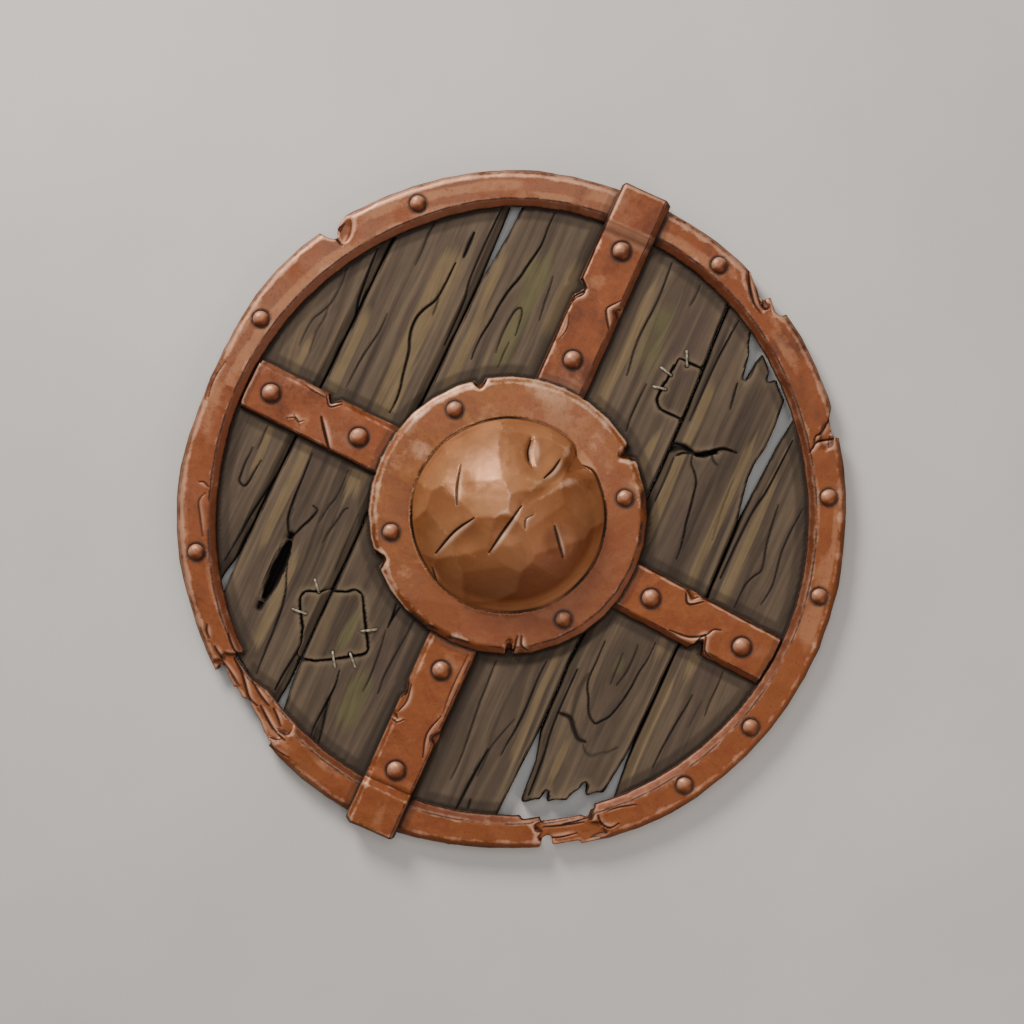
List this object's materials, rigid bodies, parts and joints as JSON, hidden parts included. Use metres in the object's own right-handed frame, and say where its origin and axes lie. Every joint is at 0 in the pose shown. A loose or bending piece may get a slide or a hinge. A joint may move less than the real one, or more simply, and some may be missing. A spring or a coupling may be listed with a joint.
{
  "type": "buckler",
  "caption": "Battered round hand shield of weathered planks bound with a torn copper hoop, four straps and a domed boss",
  "frame": {"origin": "centre of the shield's outline on the plane of its flat back", "axes": "+Z out of the face through the boss; +Y along the boards' grain to the top strap; +X to the right"},
  "size_m": [0.3955, 0.4125, 0.0553],
  "materials": {
    "board_wood": "old split oak boards gone grey-brown, open grain, dark cracks, no varnish",
    "patch_wood": "inlaid repair pieces of darker weathered oak",
    "grip_wood": "turned ash bar darkened and smoothed by hands",
    "hoop_copper": "hammered copper with brown oxide, pitted, brighter along worn edges",
    "strap_copper": "hammered copper with brown oxide, pitted, brighter along worn edges",
    "boss_copper": "beaten copper dome, rubbed brighter on the crown, scored by blade cuts",
    "rivet_copper": "peened copper heads with dark grime round them",
    "staple_wire": "dull grey iron wire"
  },
  "bodies": {
    "root": {"board_far_left": "board_wood", "board_left": "board_wood", "board_inner_left": "board_wood", "board_inner_right": "board_wood", "board_right": "board_wood", "board_far_right": "board_wood", "patch_upper": "patch_wood", "patch_lower_left": "patch_wood", "patch_lower_right": "patch_wood", "staple_1": "staple_wire", "staple_2": "staple_wire", "staple_3": "staple_wire", "staple_4": "staple_wire", "staple_5": "staple_wire", "staple_6": "staple_wire", "staple_7": "staple_wire", "staple_8": "staple_wire", "rim_hoop": "hoop_copper", "strap_top": "strap_copper", "strap_left": "strap_copper", "strap_bottom": "strap_copper", "strap_right": "strap_copper", "boss": "boss_copper", "grip": "grip_wood", "rivet_boss_1": "rivet_copper", "rivet_boss_2": "rivet_copper", "rivet_boss_3": "rivet_copper", "rivet_boss_4": "rivet_copper", "rivet_rim_1": "rivet_copper", "rivet_rim_2": "rivet_copper", "rivet_rim_3": "rivet_copper", "rivet_rim_4": "rivet_copper", "rivet_rim_5": "rivet_copper", "rivet_rim_6": "rivet_copper", "rivet_rim_7": "rivet_copper", "rivet_rim_8": "rivet_copper", "rivet_strap_top_1": "rivet_copper", "rivet_strap_top_2": "rivet_copper", "rivet_strap_left_1": "rivet_copper", "rivet_strap_left_2": "rivet_copper", "rivet_strap_bottom_1": "rivet_copper", "rivet_strap_bottom_2": "rivet_copper", "rivet_strap_right_1": "rivet_copper", "rivet_strap_right_2": "rivet_copper"}
  },
  "joints": []
}
